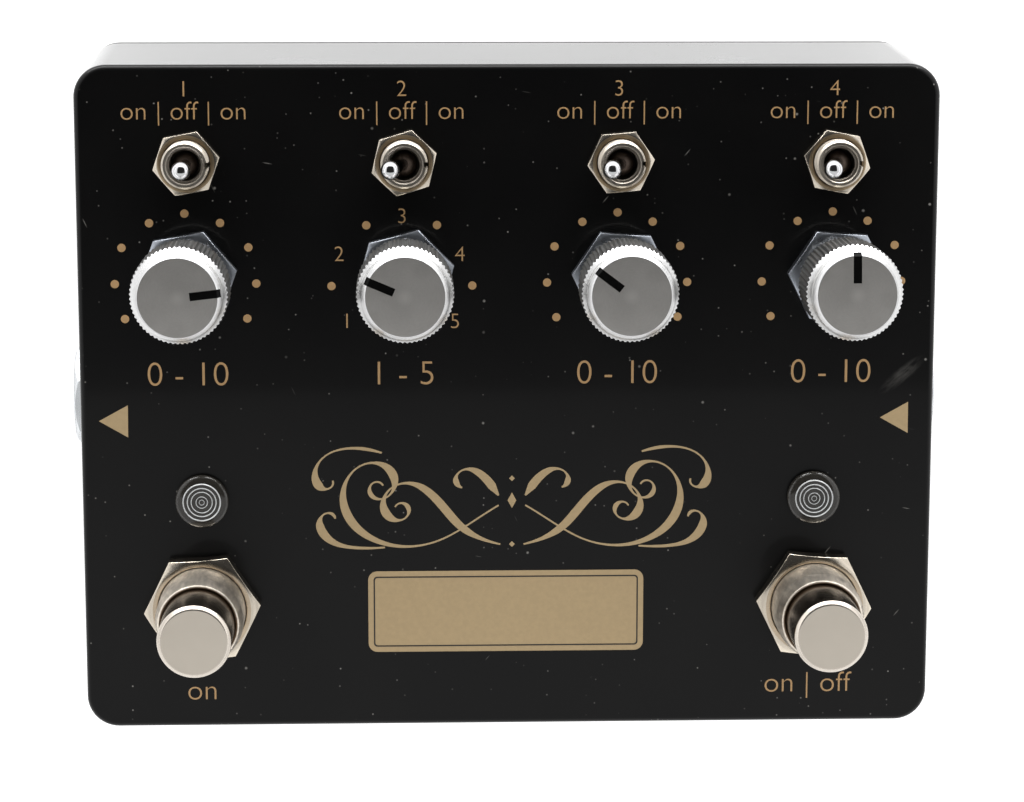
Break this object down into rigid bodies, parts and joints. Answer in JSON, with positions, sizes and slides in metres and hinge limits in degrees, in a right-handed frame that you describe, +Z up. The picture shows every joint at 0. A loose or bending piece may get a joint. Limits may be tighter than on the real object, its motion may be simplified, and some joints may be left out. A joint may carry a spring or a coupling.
{
  "type": "delay pedal",
  "caption": "Floor effect pedal in a cast box with rotary knobs, ball-tipped toggle levers, push footswitches, lamp lenses and side sockets.",
  "frame": {"origin": "middle of the outline, on the plane that the rubber feet stand on", "axes": "+X along the box to the right as the player sees it, +Y towards the back edge with the toggle switches, +Z up out of the control face"},
  "size_m": [0.1224, 0.094, 0.0584],
  "materials": {
    "powder_coat": "satin black powder coat",
    "base_coat": "satin black powder coat",
    "screw_steel": "zinc plated",
    "foot_rubber": "matte",
    "knob_aluminium": "knurled side, spun top",
    "pot_can": "satin",
    "shaft_metal": "satin",
    "pot_nut_steel": "blue-grey zinc",
    "toggle_bushing": "nickel plated",
    "toggle_nut_nickel": "bright nickel",
    "lever_chrome": "polished",
    "footswitch_nickel": "satin nickel",
    "footswitch_nut_nickel": "satin nickel",
    "cap_nickel": "satin face with a bright rim",
    "spring_steel": "bright wire",
    "lens_clear": "clear with pressed rings",
    "led_resin": "water clear",
    "jack_plastic": "moulded",
    "jack_nut_nickel": "bright nickel",
    "inlet_plastic": "moulded",
    "board_laminate": "solder mask",
    "chip_resin": "moulded",
    "capacitor_sleeve": "shrink sleeve"
  },
  "bodies": {
    "box": {"enclosure": "powder_coat", "base_plate": "base_coat", "lid_screw_1": "screw_steel", "lid_screw_2": "screw_steel", "lid_screw_3": "screw_steel", "lid_screw_4": "screw_steel", "foot_1": "foot_rubber", "foot_2": "foot_rubber", "foot_3": "foot_rubber", "foot_4": "foot_rubber", "pot_body_1": "pot_can", "pot_body_2": "pot_can", "pot_body_3": "pot_can", "pot_body_4": "pot_can", "pot_nut_1": "pot_nut_steel", "pot_nut_2": "pot_nut_steel", "pot_nut_3": "pot_nut_steel", "pot_nut_4": "pot_nut_steel", "toggle_body_1": "toggle_bushing", "toggle_body_2": "toggle_bushing", "toggle_body_3": "toggle_bushing", "toggle_body_4": "toggle_bushing", "toggle_nut_1": "toggle_nut_nickel", "toggle_nut_2": "toggle_nut_nickel", "toggle_nut_3": "toggle_nut_nickel", "toggle_nut_4": "toggle_nut_nickel", "footswitch_body_left": "footswitch_nickel", "footswitch_body_right": "footswitch_nickel", "footswitch_nut_left": "footswitch_nut_nickel", "footswitch_nut_right": "footswitch_nut_nickel", "footswitch_spring_left": "spring_steel", "footswitch_spring_right": "spring_steel", "lens_left": "lens_clear", "lens_right": "lens_clear", "led_left": "led_resin", "led_right": "led_resin", "jack_body_left": "jack_plastic", "jack_body_right": "jack_plastic", "jack_nut_left": "jack_nut_nickel", "jack_nut_right": "jack_nut_nickel", "dc_jack": "inlet_plastic", "dc_nut": "inlet_plastic", "main_board": "board_laminate", "dsp_chip": "chip_resin", "capacitor": "capacitor_sleeve"},
    "knob_1_body": {"knob_1": "knob_aluminium", "pot_shaft_1": "shaft_metal"},
    "knob_2_body": {"knob_2": "knob_aluminium", "pot_shaft_2": "shaft_metal"},
    "knob_3_body": {"knob_3": "knob_aluminium", "pot_shaft_3": "shaft_metal"},
    "knob_4_body": {"knob_4": "knob_aluminium", "pot_shaft_4": "shaft_metal"},
    "lever_1_body": {"toggle_lever_1": "lever_chrome"},
    "lever_2_body": {"toggle_lever_2": "lever_chrome"},
    "lever_3_body": {"toggle_lever_3": "lever_chrome"},
    "lever_4_body": {"toggle_lever_4": "lever_chrome"},
    "plunger_left_body": {"footswitch_plunger_left": "cap_nickel"},
    "plunger_right_body": {"footswitch_plunger_right": "cap_nickel"}
  },
  "joints": [
    {"name": "knob_1_turn", "type": "hinge", "parent": "box", "child": "knob_1_body", "pos_m": [-0.04375, 0.0171, 0.038], "axis": [0, 0, 1], "range_deg": [-66.5, 233.5]},
    {"name": "knob_2_turn", "type": "hinge", "parent": "box", "child": "knob_2_body", "pos_m": [-0.01417, 0.0171, 0.038], "axis": [0, 0, 1], "range_deg": [-217, 83]},
    {"name": "knob_3_turn", "type": "hinge", "parent": "box", "child": "knob_3_body", "pos_m": [0.01541, 0.0171, 0.038], "axis": [0, 0, 1], "range_deg": [-203, 97]},
    {"name": "knob_4_turn", "type": "hinge", "parent": "box", "child": "knob_4_body", "pos_m": [0.04499, 0.0171, 0.038], "axis": [0, 0, 1], "range_deg": [-151, 149]},
    {"name": "toggle_1_flip", "type": "hinge", "parent": "box", "child": "lever_1_body", "pos_m": [-0.04357, 0.03285, 0.0402], "axis": [0, 1, 0], "range_deg": [-11.4, 11.4]},
    {"name": "toggle_2_flip", "type": "hinge", "parent": "box", "child": "lever_2_body", "pos_m": [-0.01421, 0.03285, 0.0402], "axis": [0, 1, 0], "range_deg": [0, 22.8]},
    {"name": "toggle_3_flip", "type": "hinge", "parent": "box", "child": "lever_3_body", "pos_m": [0.01515, 0.03285, 0.0402], "axis": [0, 1, 0], "range_deg": [0, 22.8]},
    {"name": "toggle_4_flip", "type": "hinge", "parent": "box", "child": "lever_4_body", "pos_m": [0.04451, 0.03285, 0.0402], "axis": [0, 1, 0], "range_deg": [0, 22.8]},
    {"name": "footswitch_left_press", "type": "slide", "parent": "box", "child": "plunger_left_body", "axis": [0, 0, -1], "range_m": [0, 0.003], "stiffness_N_per_m": 4000, "springref_m": -0.0008, "deforming": ["footswitch_spring_left"]},
    {"name": "footswitch_right_press", "type": "slide", "parent": "box", "child": "plunger_right_body", "axis": [0, 0, -1], "range_m": [0, 0.003], "stiffness_N_per_m": 4000, "springref_m": -0.0008, "deforming": ["footswitch_spring_right"]}
  ]
}
